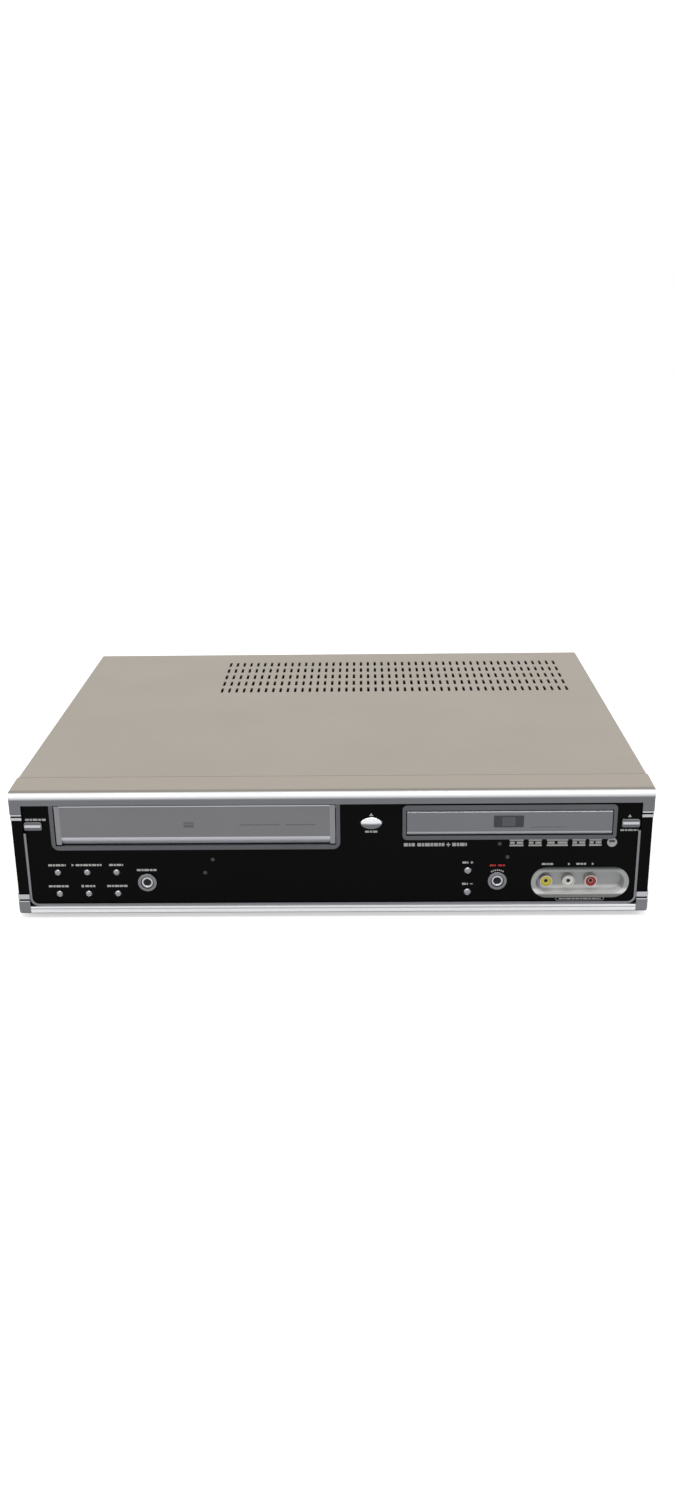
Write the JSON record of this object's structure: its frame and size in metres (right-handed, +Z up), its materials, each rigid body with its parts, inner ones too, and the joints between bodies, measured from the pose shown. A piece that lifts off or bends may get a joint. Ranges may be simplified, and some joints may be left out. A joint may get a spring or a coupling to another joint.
{
  "type": "dvd recorder",
  "caption": "Low silver and black disc recorder and video cassette deck with a hinged cassette flap, sliding disc tray, push keys, front sockets and inner lift.",
  "frame": {"origin": "on the floor under the middle of the overall box", "axes": "+Z up, the front panel faces -Y, +X to the right seen from the front"},
  "size_m": [0.4326, 0.357, 0.0924],
  "materials": {
    "cover_paint": "satin",
    "galvanised_sheet": "satin",
    "rear_paint": "satin",
    "foot_rubber": "matte",
    "screw_steel": "satin",
    "panel_black": "gloss",
    "rail_silver": "satin",
    "strip_chrome": "polished",
    "surround_silver": "satin",
    "flap_silver": "satin",
    "dish_silver": "satin",
    "button_silver": "gloss",
    "jack_metal": "polished",
    "jack_yellow": "satin",
    "jack_white": "satin",
    "jack_red": "satin",
    "lens_dark": "gloss",
    "board_green": "satin",
    "socket_black": "matte",
    "tuner_tin": "satin",
    "deck_steel": "satin",
    "drum_aluminium": "polished",
    "reel_plastic": "satin",
    "loader_plastic": "matte",
    "tray_plastic": "satin",
    "gear_plastic": "satin",
    "belt_rubber": "matte",
    "rod_steel": "polished",
    "sled_metal": "satin"
  },
  "bodies": {
    "case": {"base_chassis": "galvanised_sheet", "rear_panel": "rear_paint", "top_cover": "cover_paint", "feet": "foot_rubber", "case_screws": "screw_steel", "front_panel": "panel_black", "top_rail": "rail_silver", "bottom_rail": "rail_silver", "corner_strips": "strip_chrome", "panel_trim": "strip_chrome", "cassette_surround": "surround_silver", "tray_surround": "surround_silver", "av_pocket": "dish_silver", "jack_sleeves": "jack_metal", "jack_core_yellow": "jack_yellow", "jack_core_white": "jack_white", "jack_core_red": "jack_red", "indicator_lenses": "lens_dark", "button_rings": "strip_chrome", "front_board": "board_green", "circuit_boards": "board_green", "scart_sockets": "socket_black", "rear_jacks": "socket_black", "tuner_box": "tuner_tin", "mains_inlet": "socket_black", "deck_plate": "deck_steel", "lift_frame": "deck_steel", "lower_drum": "drum_aluminium", "loader_frame": "loader_plastic", "tray_motor": "screw_steel", "tray_belt": "belt_rubber", "sled_rods": "rod_steel", "clamp_bridge": "loader_plastic"},
    "flap": {"cassette_door": "flap_silver"},
    "tray": {"disc_tray": "tray_plastic", "tray_front": "flap_silver"},
    "tray_gear_wheel": {"tray_gear": "gear_plastic"},
    "motor_wheel": {"motor_pulley": "gear_plastic"},
    "platter": {"turntable": "loader_plastic"},
    "sled": {"laser_sled": "sled_metal"},
    "head_drum": {"upper_drum": "drum_aluminium"},
    "capstan_wheel": {"capstan": "deck_steel"},
    "supply_table": {"supply_reel": "reel_plastic"},
    "takeup_table": {"takeup_reel": "reel_plastic"},
    "lift": {"lift_slider": "deck_steel"},
    "holder": {"cassette_holder": "deck_steel"},
    "power_key": {"power_button": "button_silver"},
    "open_key": {"open_button": "button_silver"},
    "eject_key": {"eject_button": "button_silver"},
    "function_key_1": {"function_button_1": "button_silver"},
    "function_key_2": {"function_button_2": "button_silver"},
    "function_key_3": {"function_button_3": "button_silver"},
    "function_key_4": {"function_button_4": "button_silver"},
    "function_key_5": {"function_button_5": "button_silver"},
    "function_key_6": {"function_button_6": "button_silver"},
    "channel_up_key": {"channel_up_button": "button_silver"},
    "channel_down_key": {"channel_down_button": "button_silver"},
    "left_round_key": {"left_round_button": "button_silver"},
    "right_round_key": {"right_round_button": "button_silver"}
  },
  "joints": [
    {"name": "flap_hinge", "type": "hinge", "parent": "case", "child": "flap", "pos_m": [-0.0909, -0.1759, 0.0809], "axis": [1, 0, 0], "range_deg": [0, 90], "stiffness_Nm_per_rad": 0.04, "springref_deg": -20.05},
    {"name": "tray_slide", "type": "slide", "parent": "case", "child": "tray", "axis": [0, -1, 0], "range_m": [0, 0.138]},
    {"name": "tray_gear_turn", "type": "hinge", "parent": "case", "child": "tray_gear_wheel", "pos_m": [0.1562, -0.1545, 0.0604], "axis": [0, 0, 1], "range_deg": [-740, 0]},
    {"name": "motor_turn", "type": "hinge", "parent": "case", "child": "motor_wheel", "pos_m": [0.124, -0.1345, 0.057], "axis": [0, 0, 1], "range_deg": [-1975, 0]},
    {"name": "platter_spin", "type": "hinge", "parent": "case", "child": "platter", "pos_m": [0.1192, -0.1025, 0.0687], "axis": [0, 0, 1], "continuous": true},
    {"name": "sled_slide", "type": "slide", "parent": "case", "child": "sled", "axis": [0, 1, 0], "range_m": [0, 0.036]},
    {"name": "drum_spin", "type": "hinge", "parent": "case", "child": "head_drum", "pos_m": [-0.0909, 0.0355, 0.0185], "axis": [0, -0.0872, 0.9962], "continuous": true},
    {"name": "capstan_spin", "type": "hinge", "parent": "case", "child": "capstan_wheel", "pos_m": [-0.04, 0.0055, 0.0185], "axis": [0, 0, 1], "continuous": true},
    {"name": "lift_slide", "type": "slide", "parent": "case", "child": "lift", "axis": [0, 1, 0], "range_m": [0, 0.06]},
    {"name": "holder_drop", "type": "slide", "parent": "lift", "child": "holder", "axis": [0, 0, -1], "range_m": [0, 0.017]},
    {"name": "supply_spin", "type": "hinge", "parent": "case", "child": "supply_table", "pos_m": [-0.1369, -0.0425, 0.0185], "axis": [0, 0, 1], "continuous": true},
    {"name": "takeup_spin", "type": "hinge", "parent": "case", "child": "takeup_table", "pos_m": [-0.0449, -0.0425, 0.0185], "axis": [0, 0, 1], "continuous": true},
    {"name": "power_press", "type": "slide", "parent": "case", "child": "power_key", "axis": [0, 1, 0], "range_m": [0, 0.0008], "stiffness_N_per_m": 400},
    {"name": "open_press", "type": "slide", "parent": "case", "child": "open_key", "axis": [0, 1, 0], "range_m": [0, 0.0008], "stiffness_N_per_m": 400},
    {"name": "eject_press", "type": "slide", "parent": "case", "child": "eject_key", "axis": [0, 1, 0], "range_m": [0, 0.0008], "stiffness_N_per_m": 400},
    {"name": "function_press_1", "type": "slide", "parent": "case", "child": "function_key_1", "axis": [0, 1, 0], "range_m": [0, 0.0008], "stiffness_N_per_m": 400},
    {"name": "function_press_2", "type": "slide", "parent": "case", "child": "function_key_2", "axis": [0, 1, 0], "range_m": [0, 0.0008], "stiffness_N_per_m": 400},
    {"name": "function_press_3", "type": "slide", "parent": "case", "child": "function_key_3", "axis": [0, 1, 0], "range_m": [0, 0.0008], "stiffness_N_per_m": 400},
    {"name": "function_press_4", "type": "slide", "parent": "case", "child": "function_key_4", "axis": [0, 1, 0], "range_m": [0, 0.0008], "stiffness_N_per_m": 400},
    {"name": "function_press_5", "type": "slide", "parent": "case", "child": "function_key_5", "axis": [0, 1, 0], "range_m": [0, 0.0008], "stiffness_N_per_m": 400},
    {"name": "function_press_6", "type": "slide", "parent": "case", "child": "function_key_6", "axis": [0, 1, 0], "range_m": [0, 0.0008], "stiffness_N_per_m": 400},
    {"name": "channel_up_press", "type": "slide", "parent": "case", "child": "channel_up_key", "axis": [0, 1, 0], "range_m": [0, 0.0008], "stiffness_N_per_m": 400},
    {"name": "channel_down_press", "type": "slide", "parent": "case", "child": "channel_down_key", "axis": [0, 1, 0], "range_m": [0, 0.0008], "stiffness_N_per_m": 400},
    {"name": "left_round_press", "type": "slide", "parent": "case", "child": "left_round_key", "axis": [0, 1, 0], "range_m": [0, 0.0008], "stiffness_N_per_m": 400},
    {"name": "right_round_press", "type": "slide", "parent": "case", "child": "right_round_key", "axis": [0, 1, 0], "range_m": [0, 0.0008], "stiffness_N_per_m": 400}
  ],
  "couplings": [
    {"joint": "tray_gear_turn", "follows": "tray_slide", "rad_per_m": -90.909},
    {"joint": "motor_turn", "follows": "tray_slide", "rad_per_m": -242.42}
  ]
}
